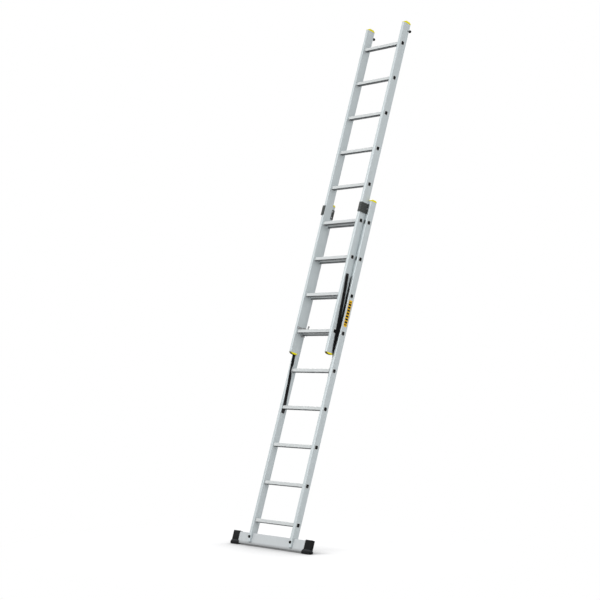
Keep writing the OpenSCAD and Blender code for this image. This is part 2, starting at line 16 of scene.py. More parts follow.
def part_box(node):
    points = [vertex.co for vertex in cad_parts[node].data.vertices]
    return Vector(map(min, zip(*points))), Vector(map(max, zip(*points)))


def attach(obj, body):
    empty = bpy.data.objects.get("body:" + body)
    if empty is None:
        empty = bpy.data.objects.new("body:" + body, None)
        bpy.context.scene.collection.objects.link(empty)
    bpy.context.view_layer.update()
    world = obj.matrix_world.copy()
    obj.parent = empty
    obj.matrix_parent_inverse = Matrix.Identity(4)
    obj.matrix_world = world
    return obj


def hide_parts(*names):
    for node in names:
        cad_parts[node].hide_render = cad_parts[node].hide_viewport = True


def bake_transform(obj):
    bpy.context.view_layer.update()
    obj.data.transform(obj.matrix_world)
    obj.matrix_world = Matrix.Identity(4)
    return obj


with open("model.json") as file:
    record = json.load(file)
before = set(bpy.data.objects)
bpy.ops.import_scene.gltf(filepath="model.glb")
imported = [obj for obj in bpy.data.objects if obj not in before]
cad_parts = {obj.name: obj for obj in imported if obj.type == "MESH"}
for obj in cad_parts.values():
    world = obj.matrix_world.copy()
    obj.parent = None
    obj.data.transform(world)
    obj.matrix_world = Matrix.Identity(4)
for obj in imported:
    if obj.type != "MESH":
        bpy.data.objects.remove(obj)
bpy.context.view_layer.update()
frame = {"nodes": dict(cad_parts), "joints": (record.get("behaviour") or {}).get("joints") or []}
print("nodes in the frame:", len(frame["nodes"]))

# %% [markdown]
# ## The ladder's own directions
# The ladder leans, so its parts are easiest to place along its own directions:
# X across, "up the stile" and "out towards the climber". The sliding joint gives the
# direction up the stile, and the lowest rung gives a starting point, so nothing has
# to be measured twice.

# %% Directions and a placing helper
slide = next(j for j in frame["joints"] if j["name"] == "fly_slide")
ACROSS = Vector((1, 0, 0))
UP = Vector(slide["axis"]).normalized()
OUT = ACROSS.cross(UP).normalized()
low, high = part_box("base_rung_1")
START = (Vector(low) + Vector(high)) / 2
MM = 0.001


# New pieces are drawn in millimetres as (across, up, out) and stood up with this.
LADDER = Matrix.Translation(START) @ Matrix((ACROSS, UP, OUT)).transposed().to_4x4()
LADDER = LADDER @ Matrix.Scale(MM, 4)
LEAN = math.atan2(UP.z, UP.y)
print("lean in degrees:", round(math.degrees(LEAN), 2))

# %% [markdown]
# ## Camera, light and floor
# The ladder is looked at from its front right, a little over a metre above the
# floor, through a long lens. A large soft lamp stands on the climber's side, and
# weaker ones on the right and behind, so the front edges of the stiles come out
# lighter than their sides.

# %% Camera
CAMERA_FROM_START = Vector((9.4124, -7.3667, 1.2014))
CAMERA_LOOK = Vector((-0.77837, 0.62702, 0.03130)).normalized()

cam_data = bpy.data.cameras.new("camera")
cam_data.lens = 101.06
cam_data.sensor_width = 36
cam_data.clip_end = 100
cam = bpy.data.objects.new("camera", cam_data)
bpy.context.collection.objects.link(cam)
cam.location = START + CAMERA_FROM_START
cam.rotation_euler = CAMERA_LOOK.to_track_quat("-Z", "Y").to_euler()
bpy.context.scene.camera = cam
print("camera height in metres:", round(cam.location.z, 3))


# %% Lamps
def lamp(name, spot, target, size, watts):
    """A square soft lamp at spot that faces target."""
    data = bpy.data.lights.new(name, "AREA")
    data.shape = "SQUARE"
    data.size = size
    data.energy = watts
    ob = bpy.data.objects.new(name, data)
    bpy.context.collection.objects.link(ob)
    ob.location = spot
    ob.rotation_euler = (Vector(target) - Vector(spot)).to_track_quat("-Z", "Y").to_euler()


MIDDLE = Vector((0, 0.6, 1.9))
lamp("front_lamp", (-2.5, -6.5, 6.0), MIDDLE, 4.0, 385)
lamp("right_lamp", (6.5, -1.0, 4.0), MIDDLE, 4.0, 190)
lamp("back_lamp", (-4.0, 5.0, 5.0), MIDDLE, 4.0, 160)


# %% Helpers for node trees
def math_node(tree, op, a, b=None, clamp=False):
    """A Math node; a and b are numbers or sockets."""
    node = tree.nodes.new("ShaderNodeMath")
    node.operation = op
    node.use_clamp = clamp
    for i, v in enumerate((a, b)):
        if v is None:
            continue
        if isinstance(v, (int, float)):
            node.inputs[i].default_value = v
        else:
            tree.links.new(v, node.inputs[i])
    return node.outputs[0]


def dot_node(tree, vector, way):
    """How far a vector socket reaches along a direction."""
    node = tree.nodes.new("ShaderNodeVectorMath")
    node.operation = "DOT_PRODUCT"
    tree.links.new(vector, node.inputs[0])
    node.inputs[1].default_value = way
    return node.outputs["Value"]


def smooth_step(tree, value, start, end):
    """Rises smoothly from 0 at start to 1 at end."""
    node = tree.nodes.new("ShaderNodeMapRange")
    node.interpolation_type = "SMOOTHSTEP"
    tree.links.new(value, node.inputs["Value"])
    node.inputs["From Min"].default_value = start
    node.inputs["From Max"].default_value = end
    return node.outputs["Result"]


def plain_shader(tree, kind, colour, strength=None):
    """A shader of one colour; strength is a number or a socket."""
    node = tree.nodes.new(kind)
    node.inputs["Color"].default_value = (*colour, 1)
    if isinstance(strength, (int, float)):
        node.inputs["Strength"].default_value = strength
    elif strength is not None:
        tree.links.new(strength, node.inputs["Strength"])
    return node.outputs[0]


def mixed_shader(tree, share, a, b):
    """Shader a where share is 0 and shader b where it is 1."""
    node = tree.nodes.new("ShaderNodeMixShader")
    tree.links.new(share, node.inputs["Fac"])
    tree.links.new(a, node.inputs[1])
    tree.links.new(b, node.inputs[2])
    return node.outputs[0]


def seen_directly(tree):
    """1 where the camera looks, straight or through a reflection, and 0 for soft light."""
    path = tree.nodes.new("ShaderNodeLightPath").outputs
    seen = math_node(tree, "MAXIMUM", path["Is Camera Ray"], path["Is Glossy Ray"])
    return math_node(tree, "MAXIMUM", seen, path["Is Transmission Ray"])


# %% White surroundings
WHITE = (1, 1, 1)

bpy.context.scene.view_settings.view_transform = "Standard"
world = bpy.data.worlds.new("studio")
bpy.context.scene.world = world
world.use_nodes = True
tree = world.node_tree
tree.nodes.clear()
soft = plain_shader(tree, "ShaderNodeBackground", WHITE, 0.39)
white = plain_shader(tree, "ShaderNodeBackground", WHITE, 1.0)
out = tree.nodes.new("ShaderNodeOutputWorld")
tree.links.new(mixed_shader(tree, seen_directly(tree), soft, white), out.inputs["Surface"])
print("world:", world.name)

# %% [markdown]
# ## The floor
# The floor has to look white and still take the ladder's soft shadow. What the camera
# and the reflections see is a white glow with a little lit paint near the feet, which
# is where a shadow can fall, and pure white further off, so no horizon line shows.
# What bounces off it on to the ladder is much weaker, as from a real studio floor of grey paper,
# and the undersides of the rungs stay darker; their finish adds painted shade as well.

# %% Floor
SHADOW_REACH = 0.4  # how far over the floor a part still dims its glow, in metres
FLOOR_FADE = (0.9, 1.9)  # from lit paint to pure white, in metres from the middle

floor_mesh = bpy.data.meshes.new("studio_floor")
bm = bmesh.new()
bmesh.ops.create_grid(bm, x_segments=1, y_segments=1, size=60)
bm.to_mesh(floor_mesh)
bm.free()
floor = bpy.data.objects.new("studio_floor", floor_mesh)
bpy.context.collection.objects.link(floor)
floor_mat = bpy.data.materials.new("pale_floor")
floor_mat.use_nodes = True
tree = floor_mat.node_tree
tree.nodes.clear()
dull = plain_shader(tree, "ShaderNodeBsdfDiffuse", (0.75, 0.75, 0.75))
paint = plain_shader(tree, "ShaderNodeBsdfDiffuse", (0.42, 0.42, 0.425))
# The glow fades where the feet and the bar stand close over the floor.
near_by = tree.nodes.new("ShaderNodeAmbientOcclusion")
near_by.inputs["Distance"].default_value = SHADOW_REACH
near_by.samples = 16
strength = math_node(tree, "MULTIPLY", math_node(tree, "POWER", near_by.outputs["AO"], 2.2), 0.64)
glow = plain_shader(tree, "ShaderNodeEmission", WHITE, strength)
near = tree.nodes.new("ShaderNodeAddShader")
tree.links.new(paint, near.inputs[0])
tree.links.new(glow, near.inputs[1])
far = plain_shader(tree, "ShaderNodeEmission", WHITE)
coords = tree.nodes.new("ShaderNodeTexCoord")
away = tree.nodes.new("ShaderNodeVectorMath")
away.operation = "LENGTH"
tree.links.new(coords.outputs["Object"], away.inputs[0])
fade = smooth_step(tree, away.outputs["Value"], *FLOOR_FADE)
shown = mixed_shader(tree, fade, near.outputs[0], far)
out = tree.nodes.new("ShaderNodeOutputMaterial")
tree.links.new(mixed_shader(tree, seen_directly(tree), dull, shown), out.inputs["Surface"])
floor_mesh.materials.append(floor_mat)
print("floor size in metres:", [round(v, 1) for v in floor.dimensions])

# %% [markdown]
# ## Shared surface effects
# Real surfaces share a few effects: the fine lines that an extrusion die leaves, the
# grain of a moulded part, the weave of webbing, and the marks of handling. Each is
# built once as a node group with named inputs, then placed in the materials that need
# it with their own values.


# %% A helper for node groups
def new_group(name, ins, outs):
    """An empty shader group with (name, kind, default) inputs and (name, kind) outputs."""
    g = bpy.data.node_groups.new(name, "ShaderNodeTree")
    for label, kind, value in ins:
        s = g.interface.new_socket(label, in_out="INPUT", socket_type="NodeSocket" + kind)
        if value is not None:
            s.default_value = value
    for label, kind in outs:
        g.interface.new_socket(label, in_out="OUTPUT", socket_type="NodeSocket" + kind)
    return g, g.nodes.new("NodeGroupInput"), g.nodes.new("NodeGroupOutput")


# %% Drawn lines of an extrusion
def make_drawn_lines():
    """Fine streaks along one direction, as a height and a light-dark shade."""
    g, gi, go = new_group(
        "drawn_lines",
        [("Vector", "Vector", None), ("Fineness", "Float", 900.0), ("Stretch", "Float", 0.004)],
        [("Height", "Float"), ("Shade", "Float")],
    )
    turn = g.nodes.new("ShaderNodeMapping")
    turn.vector_type = "POINT"
    turn.inputs["Rotation"].default_value = (-LEAN, 0, 0)
    g.links.new(gi.outputs["Vector"], turn.inputs["Vector"])
    parts = g.nodes.new("ShaderNodeSeparateXYZ")
    g.links.new(turn.outputs[0], parts.inputs[0])
    squeezed = g.nodes.new("ShaderNodeCombineXYZ")
    g.links.new(parts.outputs[0], squeezed.inputs[0])
    short = math_node(g, "MULTIPLY", parts.outputs[1], gi.outputs["Stretch"])
    g.links.new(short, squeezed.inputs[1])
    g.links.new(parts.outputs[2], squeezed.inputs[2])
    fine = g.nodes.new("ShaderNodeTexNoise")
    fine.inputs["Detail"].default_value = 4
    fine.inputs["Roughness"].default_value = 0.6
    g.links.new(squeezed.outputs[0], fine.inputs["Vector"])
    g.links.new(gi.outputs["Fineness"], fine.inputs["Scale"])
    broad = g.nodes.new("ShaderNodeTexNoise")
    broad.inputs["Detail"].default_value = 2
    g.links.new(squeezed.outputs[0], broad.inputs["Vector"])
    g.links.new(math_node(g, "MULTIPLY", gi.outputs["Fineness"], 0.12), broad.inputs["Scale"])
    g.links.new(fine.outputs["Fac"], go.inputs["Height"])
    mixed = math_node(g, "MULTIPLY", broad.outputs["Fac"], 0.6)
    g.links.new(math_node(g, "ADD", mixed, math_node(g, "MULTIPLY", fine.outputs["Fac"], 0.4)),
                go.inputs["Shade"])
    return g


# %% Grain of a moulded surface
def make_grain():
    """The fine pebbled grain of moulded plastic and rubber."""
    g, gi, go = new_group(
        "moulded_grain",
        [("Vector", "Vector", None), ("Fineness", "Float", 1400.0)],
        [("Height", "Float"), ("Shade", "Float")],
    )
    cells = g.nodes.new("ShaderNodeTexVoronoi")
    cells.feature = "SMOOTH_F1"
    g.links.new(gi.outputs["Vector"], cells.inputs["Vector"])
    g.links.new(gi.outputs["Fineness"], cells.inputs["Scale"])
    cloud = g.nodes.new("ShaderNodeTexNoise")
    cloud.inputs["Detail"].default_value = 3
    g.links.new(gi.outputs["Vector"], cloud.inputs["Vector"])
    g.links.new(math_node(g, "MULTIPLY", gi.outputs["Fineness"], 0.03), cloud.inputs["Scale"])
    g.links.new(cells.outputs["Distance"], go.inputs["Height"])
    g.links.new(cloud.outputs["Fac"], go.inputs["Shade"])
    return g


# %% Marks of handling
def make_handling():
    """Rubbed and scuffed patches: 0 where a surface is clean, 1 where it is marked."""
    g, gi, go = new_group(
        "handling_marks",
        [("Vector", "Vector", None), ("Size", "Float", 14.0), ("Amount", "Float", 0.5)],
        [("Mask", "Float")],
    )
    patch = g.nodes.new("ShaderNodeTexNoise")
    patch.inputs["Detail"].default_value = 8
    patch.inputs["Roughness"].default_value = 0.72
    g.links.new(gi.outputs["Vector"], patch.inputs["Vector"])
    g.links.new(gi.outputs["Size"], patch.inputs["Scale"])
    high_spots = math_node(g, "SUBTRACT", patch.outputs["Fac"], 0.52)
    sharp = math_node(g, "MULTIPLY", high_spots, 6.0, clamp=True)
    g.links.new(math_node(g, "MULTIPLY", sharp, gi.outputs["Amount"]), go.inputs["Mask"])
    return g


DRAWN = make_drawn_lines()
GRAIN = make_grain()
HANDLED = make_handling()
print("effects:", [g.name for g in bpy.data.node_groups])


# %% [markdown]
# ## Materials
# Each finish is its own Principled material, and the groups above feed its colour,
# roughness and bump.


# %% A helper for materials
def new_material(name):
    """A Principled material with its tree, its shader and its Object coordinates."""
    m = bpy.data.materials.new(name)
    m.use_nodes = True
    tree = m.node_tree
    shader = tree.nodes["Principled BSDF"]
    coords = tree.nodes.new("ShaderNodeTexCoord")
    return m, tree, shader, coords.outputs["Object"]


def use_group(tree, group, vector, **values):
    """Places a shared effect in a material and sets its inputs."""
    node = tree.nodes.new("ShaderNodeGroup")
    node.node_tree = group
    tree.links.new(vector, node.inputs["Vector"])
    for label, value in values.items():
        node.inputs[label].default_value = value
    return node


def mixed_colour(tree, share, a, b):
    """Colour a where share is 0 and b where it is 1; each is a colour or a socket."""
    mix = tree.nodes.new("ShaderNodeMix")
    mix.data_type = "RGBA"
    tree.links.new(share, mix.inputs["Factor"])
    for label, value in (("A", a), ("B", b)):
        if isinstance(value, tuple):
            mix.inputs[label].default_value = (*value, 1)
        else:
            tree.links.new(value, mix.inputs[label])
    return mix.outputs["Result"]


def spread(tree, value, low, high):
    """Stretches a 0 to 1 value to run from low to high."""
    node = tree.nodes.new("ShaderNodeMapRange")
    tree.links.new(value, node.inputs["Value"])
    node.inputs["To Min"].default_value = low
    node.inputs["To Max"].default_value = high
    return node.outputs["Result"]


def bump(tree, shader, height, depth, strength=0.4):
    """Feeds a height into the shader's normal."""
    node = tree.nodes.new("ShaderNodeBump")
    node.inputs["Distance"].default_value = depth
    node.inputs["Strength"].default_value = strength
    tree.links.new(height, node.inputs["Height"])
    tree.links.new(node.outputs["Normal"], shader.inputs["Normal"])


# %% Faces turned up or down the stile
def turned(tree, colour, way, other):
    """Mixes another colour in where a face turns towards a direction; used for painted shade and
    painted highlight.
    """
    geometry = tree.nodes.new("ShaderNodeNewGeometry")
    facing = dot_node(tree, geometry.outputs["Normal"], way)
    share = math_node(tree, "SUBTRACT", facing, 0.05)
    return mixed_colour(tree, math_node(tree, "MULTIPLY", share, 1.8, clamp=True), colour, other)


# %% Extruded aluminium
def make_aluminium(name, dark, light, rough, metallic, fineness, specular=0.5, shade_below=None):
    """A finish of drawn lines between two colours, with a darker painted shade colour on what turns
    down.
    """
    m, tree, shader, obj = new_material(name)
    lines = use_group(tree, DRAWN, obj, Fineness=fineness)
    marks = use_group(tree, HANDLED, obj, Size=9.0, Amount=0.35)
    colour = mixed_colour(tree, lines.outputs["Shade"], dark, light)
    if shade_below:
        # Painted shade: faces that turn down the stile take the darker colour, as if little light
        # reached them.
        colour = turned(tree, colour, -UP, shade_below)
    tree.links.new(colour, shader.inputs["Base Color"])
    base = spread(tree, lines.outputs["Shade"], rough - 0.08, rough + 0.08)
    wear_and_rib_highlight = math_node(tree, "MULTIPLY", marks.outputs["Mask"], 0.18)
    tree.links.new(math_node(tree, "ADD", base, wear_and_rib_highlight), shader.inputs["Roughness"])
    shader.inputs["Metallic"].default_value = metallic
    shader.inputs["Specular IOR Level"].default_value = specular
    bump(tree, shader, lines.outputs["Height"], 0.00012)
    return m


STILE = make_aluminium("stile_aluminium", (0.485, 0.535, 0.55), (0.585, 0.635, 0.65), 0.42, 0.25,
                       700)
# The rungs' undersides get a dark blue-grey as painted shade.
RUNG = make_aluminium("rung_aluminium", (0.57, 0.60, 0.605), (0.70, 0.725, 0.725), 0.42, 0.0, 900,
                      0.2, shade_below=(0.02, 0.025, 0.032))


# %% The cross bar's lower edge
def paint_low_edge_shade(m, low, high, left):
    """Darkens a finish from one height over the floor down to another: painted shade where the part
    stands close over the floor.
    """
    tree = m.node_tree
    base = tree.nodes["Principled BSDF"].inputs["Base Color"]
    clean = base.links[0].from_socket
    coords = tree.nodes.new("ShaderNodeTexCoord")
    parts = tree.nodes.new("ShaderNodeSeparateXYZ")
    tree.links.new(coords.outputs["Object"], parts.inputs[0])
    rise = smooth_step(tree, parts.outputs[2], low, high)
    tree.links.new(mixed_colour(tree, rise, left, clean), base)


BAR = make_aluminium("bar_aluminium", (0.50, 0.53, 0.545), (0.60, 0.63, 0.64), 0.42, 0.2, 700)
# Painted shade along the bar's lower edge, just over the floor, in the dark grey given as left.
paint_low_edge_shade(BAR, low=0.004, high=0.034, left=(0.17, 0.175, 0.175))


# %% Moulded plastic and rubber
def make_moulded(name, dark, light, rough, fineness, depth, specular=0.5, shade_below=None,
                 highlight_above=None):
    """A grained finish between two colours, with a painted shade colour on what turns down and a
    painted highlight colour on what turns up.
    """
    m, tree, shader, obj = new_material(name)
    grain = use_group(tree, GRAIN, obj, Fineness=fineness)
    marks = use_group(tree, HANDLED, obj, Size=30.0, Amount=0.5)
    colour = mixed_colour(tree, grain.outputs["Shade"], dark, light)
    if shade_below:
        # Painted shade on the faces that turn down.
        colour = turned(tree, colour, -UP, shade_below)
    if highlight_above:
        # Painted highlight: the faces that turn up take a lighter grey, as if they caught the
        # light.
        colour = turned(tree, colour, UP, highlight_above)
    tree.links.new(colour, shader.inputs["Base Color"])
    base = spread(tree, grain.outputs["Shade"], rough - 0.06, rough + 0.06)
    wear_and_rib_highlight = math_node(tree, "MULTIPLY", marks.outputs["Mask"], 0.15)
    tree.links.new(math_node(tree, "ADD", base, wear_and_rib_highlight), shader.inputs["Roughness"])
    shader.inputs["Specular IOR Level"].default_value = specular
    bump(tree, shader, grain.outputs["Height"], depth)
    return m


BLACK = make_moulded("black_plastic", (0.004, 0.0045, 0.005), (0.009, 0.0095, 0.010), 0.5, 1500,
                     0.0001, 0.12)
# The rubber's upturned faces, such as the feet's shoulders, get a lighter grey as painted
# highlight.
RUBBER = make_moulded("black_rubber", (0.004, 0.0042, 0.0045), (0.009, 0.0094, 0.0098), 0.6, 1100,
                      0.0002, 0.08, highlight_above=(0.042, 0.044, 0.047))
GREY = make_moulded("grey_plastic", (0.05, 0.055, 0.053), (0.075, 0.08, 0.078), 0.55, 1500,
                    0.0001, 0.3)
# The caps' undersides get a dark olive as painted shade.
YELLOW = make_moulded("yellow_plastic", (0.90, 0.785, 0.003), (0.95, 0.855, 0.005), 0.42, 1500,
                      0.00008, 0.1, shade_below=(0.11, 0.075, 0.002))
PAINTED = make_moulded("black_paint", (0.008, 0.008, 0.009), (0.014, 0.014, 0.015), 0.4, 900,
                       0.00005, 0.3)


# %% Ribbed plastic
def paint_rib_highlight(m, first, step, wide, wear_and_rib_highlight):
    """Paints a highlight on a moulded finish along its raised ribs, which stand step apart up the
    stile.
    """
    tree = m.node_tree
    base = tree.nodes["Principled BSDF"].inputs["Base Color"]
    plain = base.links[0].from_socket
    coords = tree.nodes.new("ShaderNodeTexCoord")
    up = dot_node(tree, coords.outputs["Object"], UP)
    height = math_node(tree, "SUBTRACT", up, START.dot(UP) + first * MM)
    part = math_node(tree, "FRACT", math_node(tree, "DIVIDE", height, step * MM))
    rib = math_node(tree, "LESS_THAN", part, wide / step)
    tree.links.new(mixed_colour(tree, rib, plain, wear_and_rib_highlight), base)


# The ribbed plastic is darker than the plain grey: painted shade in the grooves between its ribs.
RIBBED = make_moulded("ribbed_plastic", (0.03, 0.034, 0.033), (0.046, 0.05, 0.049), 0.55, 1500,
                      0.0001, 0.2)
# The ribs get a lighter grey as painted highlight.
paint_rib_highlight(RIBBED, first=2305.5, step=12.4, wide=4.2, wear_and_rib_highlight=(0.10, 0.108, 0.104))


# %% Zinc-plated steel
def make_zinc(name, dark, light, rough):
    """Plated steel with a faint spangle between two greys."""
    m, tree, shader, obj = new_material(name)
    spangle = use_group(tree, GRAIN, obj, Fineness=420.0)
    colour = mixed_colour(tree, spangle.outputs["Shade"], dark, light)
    tree.links.new(colour, shader.inputs["Base Color"])
    tree.links.new(spread(tree, spangle.outputs["Shade"], rough - 0.08, rough + 0.1),
                   shader.inputs["Roughness"])
    shader.inputs["Metallic"].default_value = 0.5
    bump(tree, shader, spangle.outputs["Height"], 0.00004)
    return m


ZINC = make_zinc("zinc_steel", (0.42, 0.43, 0.44), (0.56, 0.57, 0.58), 0.36)
HOOK = make_zinc("hook_steel", (0.24, 0.245, 0.25), (0.33, 0.335, 0.34), 0.42)

# %% Webbing and thread
def make_weave():
    """The ribs and edge cords of flat webbing, from a UV map in metres."""
    g, gi, go = new_group(
        "webbing_weave",
        [("Vector", "Vector", None), ("Pitch", "Float", 0.0021), ("Yarn", "Float", 0.0012)],
        [("Height", "Float"), ("Shade", "Float")],
    )
    parts = g.nodes.new("ShaderNodeSeparateXYZ")
    g.links.new(gi.outputs["Vector"], parts.inputs[0])
    along = math_node(g, "DIVIDE", parts.outputs[0], gi.outputs["Pitch"])
    across = math_node(g, "DIVIDE", parts.outputs[1], gi.outputs["Yarn"])
    # Each yarn across is half a rib further on than its neighbour, which is a twill.
    half_ribs = math_node(g, "MULTIPLY", math_node(g, "FLOOR", across), 0.5)
    shifted = math_node(g, "ADD", along, half_ribs)
    rib = math_node(g, "SINE", math_node(g, "MULTIPLY", shifted, 2 * math.pi))
    yarn = math_node(g, "SINE", math_node(g, "MULTIPLY", across, math.pi))
    height = math_node(g, "ADD", math_node(g, "MULTIPLY", rib, 0.35),
                       math_node(g, "MULTIPLY", math_node(g, "ABSOLUTE", yarn), 0.5))
    fuzz = g.nodes.new("ShaderNodeTexNoise")
    fuzz.inputs["Scale"].default_value = 900
    fuzz.inputs["Detail"].default_value = 3
    g.links.new(gi.outputs["Vector"], fuzz.inputs["Vector"])
    soft = math_node(g, "ADD", height, math_node(g, "MULTIPLY", fuzz.outputs["Fac"], 0.4))
    g.links.new(soft, go.inputs["Height"])
    g.links.new(math_node(g, "MULTIPLY", soft, 0.8, clamp=True), go.inputs["Shade"])
    return g


WEAVE = make_weave()


def uv_of(tree, name):
    """A piece's own UV map as a vector."""
    node = tree.nodes.new("ShaderNodeUVMap")
    node.uv_map = name
    return node.outputs["UV"]


def make_webbing(name):
    """Woven black webbing with a little dust in it."""
    m, tree, shader, obj = new_material(name)
    weave = use_group(tree, WEAVE, uv_of(tree, "webbing"))
    marks = use_group(tree, HANDLED, obj, Size=20.0, Amount=0.5)
    colour = mixed_colour(tree, weave.outputs["Shade"], (0.004, 0.004, 0.0045),
                          (0.014, 0.014, 0.015))
    dust = math_node(tree, "MULTIPLY", marks.outputs["Mask"], 0.25)
    colour = mixed_colour(tree, dust, colour, (0.05, 0.048, 0.045))
    tree.links.new(colour, shader.inputs["Base Color"])
    tree.links.new(spread(tree, weave.outputs["Shade"], 0.72, 0.9), shader.inputs["Roughness"])
    shader.inputs["Specular IOR Level"].default_value = 0.12
    bump(tree, shader, weave.outputs["Height"], 0.0003, 0.7)
    return m


WEBBING = make_webbing("black_webbing")
THREAD = make_moulded("black_thread", (0.005, 0.005, 0.005), (0.014, 0.014, 0.014), 0.6, 2400,
                      0.0001, 0.2)


# %% Vinyl with plain blocks
# In metres: the blocks' pitch, the dark share of it, half their height, how far from the
# middle the row ends, and the row's offset in pitches.
BLOCKS = dict(pitch=0.022, dark=0.67, half=0.012, reach=0.0872, offset=40.31)


def make_vinyl(name):
    """Amber vinyl with a row of plain dark blocks, square to its length, and clear edges."""
    m, tree, shader, obj = new_material(name)
    parts = tree.nodes.new("ShaderNodeSeparateXYZ")
    tree.links.new(uv_of(tree, "sticker"), parts.inputs[0])
    along = math_node(tree, "DIVIDE", parts.outputs[0], BLOCKS["pitch"])
    phase = math_node(tree, "FRACT", math_node(tree, "ADD", along, BLOCKS["offset"]))
    bar = math_node(tree, "LESS_THAN", phase, BLOCKS["dark"])
    side = math_node(tree, "ABSOLUTE", parts.outputs[1])
    inside = math_node(tree, "LESS_THAN", side, BLOCKS["half"])
    off_middle = math_node(tree, "ABSOLUTE", parts.outputs[0])
    ends = math_node(tree, "LESS_THAN", off_middle, BLOCKS["reach"])
    blocks = math_node(tree, "MULTIPLY", math_node(tree, "MULTIPLY", bar, inside), ends)
    grain = use_group(tree, GRAIN, obj, Fineness=600.0)
    amber = mixed_colour(tree, grain.outputs["Shade"], (0.84, 0.47, 0.004), (0.92, 0.54, 0.006))
    colour = mixed_colour(tree, blocks, amber, (0.012, 0.012, 0.014))
    tree.links.new(colour, shader.inputs["Base Color"])
    marks = use_group(tree, HANDLED, obj, Size=40.0, Amount=0.6)
    tree.links.new(spread(tree, marks.outputs["Mask"], 0.3, 0.55), shader.inputs["Roughness"])
    shader.inputs["Specular IOR Level"].default_value = 0.08
    bump(tree, shader, grain.outputs["Height"], 0.00003)
    return m


VINYL = make_vinyl("amber_vinyl")

print("materials:", [m.name for m in bpy.data.materials])

# %% [markdown]
# ## Dressing the nodes
# Each node of the frame keeps its shape and gets its finish by name.

# %% Give every node its finish
FINISHES = {
    "base_stile": STILE, "fly_stile": STILE, "base_rung_plugs": BLACK, "fly_rung_plugs": BLACK,
    "base_rung": RUNG, "fly_rung": RUNG, "base_top_cap": YELLOW, "fly_top_cap": YELLOW,
    "fly_foot_cap": YELLOW, "guide_bracket": RIBBED, "bracket_rivets": ZINC, "glide_pad_set": GREY,
    "rung_hook": HOOK, "hook_rivets": ZINC, "hook_latch": HOOK, "latch_pin_pair": ZINC,
    "wall_buffer": RUBBER, "buffer_pin_pair": GREY, "strap_plate": PAINTED,
    "strap_rivet_pair": PAINTED, "strap_bolt_pair": PAINTED, "strap": BLACK, "stabiliser": BAR,
    "bar_foot": RUBBER, "bar_bolt_pair": ZINC, "bar_nut_pair": BLACK,
}
for name, ob in frame["nodes"].items():
    key = max((k for k in FINISHES if name.startswith(k)), key=len)
    ob.data.materials.clear()
    ob.data.materials.append(FINISHES[key])
print("dressed nodes:", len(frame["nodes"]))

# %% [markdown]
# ## Rounding the edges of moulded and pressed pieces
# Caps, plugs, brackets and hooks come out of a mould or a press, so none of their
# edges is knife sharp, and it is the small rounded edge that catches the light. The
# engineering model leaves these edges hard. Here each such node is copied, its loose
# triangles are merged back into clean faces, its hard edges get a small bevel, and
# the rounded copy stands in for the node.


# %% Helpers for meshes
SMOOTH_UNDER = math.radians(32)
HARD_EDGE = math.radians(28)


def corners(geom):
    """The vertices among what an operator returned."""
    return [g for g in geom if isinstance(g, bmesh.types.BMVert)]


def mesh_from(bm, name):
    """Ends a bmesh and returns it as a mesh."""
    mesh = bpy.data.meshes.new(name)
    bm.to_mesh(mesh)
    bm.free()
    return mesh


def finished(mesh, name, body, slot, finish, *nodes):
    """Links a finished mesh, gives it its surface and body, and lets it stand for nodes."""
    mesh.polygons.foreach_set("use_smooth", [True] * len(mesh.polygons))
    mesh.set_sharp_from_angle(angle=SMOOTH_UNDER)
    mesh.materials.append(finish)
    ob = bpy.data.objects.new(name, mesh)
    bpy.context.collection.objects.link(ob)
    if body:
        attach(ob, body)
    if nodes:
        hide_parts(*nodes)
    return ob


# %% A rounded copy of a node
def softened(node, name, body, slot, width, finish, segments=3, shape=None):
    """A copy of a CAD node with its hard edges rounded to width, in mm, shape() first."""
    bm = bmesh.new()
    bm.from_mesh(frame["nodes"][node].data)
    bmesh.ops.remove_doubles(bm, verts=bm.verts, dist=0.00001)
    bmesh.ops.dissolve_limit(bm, angle_limit=math.radians(1.0), verts=bm.verts, edges=bm.edges)
    if shape:
        shape(bm)
    hard = [e for e in bm.edges
            if e.is_manifold and abs(e.calc_face_angle_signed(0)) > HARD_EDGE]
    bmesh.ops.bevel(bm, geom=hard, offset=width * MM, offset_type="OFFSET", segments=segments,
                    profile=0.5, affect="EDGES", clamp_overlap=True, material=-1)
    bmesh.ops.triangulate(bm, faces=bm.faces)
    return finished(mesh_from(bm, name), name, body, slot, finish, node)


# %% A raised spine and a trimmed plate
SPINE = dict(low=1425, high=1440, behind=20, rise=9.5)
PLATE_BACK = 9.5


def raise_spine(bm):
    """Extrudes a hook's upper edge behind its rivets a little further up the stile."""
    top = []
    for f in bm.faces:
        middle = (f.calc_center_median() - START) / MM
        level = SPINE["low"] < middle.dot(UP) < SPINE["high"]
        if f.normal.dot(UP) > 0.99 and level and abs(middle.dot(OUT)) < SPINE["behind"]:
            top.append(f)
    grown = bmesh.ops.extrude_face_region(bm, geom=top)["geom"]
    bmesh.ops.translate(bm, vec=SPINE["rise"] * MM * UP, verts=corners(grown))
    bmesh.ops.delete(bm, geom=top, context="FACES_ONLY")
    print("hook spine faces:", len(top))


def trim_back(bm):
    """Cuts a strap plate off level with the webbing's back edge."""
    bmesh.ops.bisect_plane(bm, geom=bm.verts[:] + bm.edges[:] + bm.faces[:], clear_inner=True,
                           plane_co=START - PLATE_BACK * MM * OUT, plane_no=OUT)
    rim = [e for e in bm.edges if e.is_boundary]
    bmesh.ops.edgeloop_fill(bm, edges=rim)


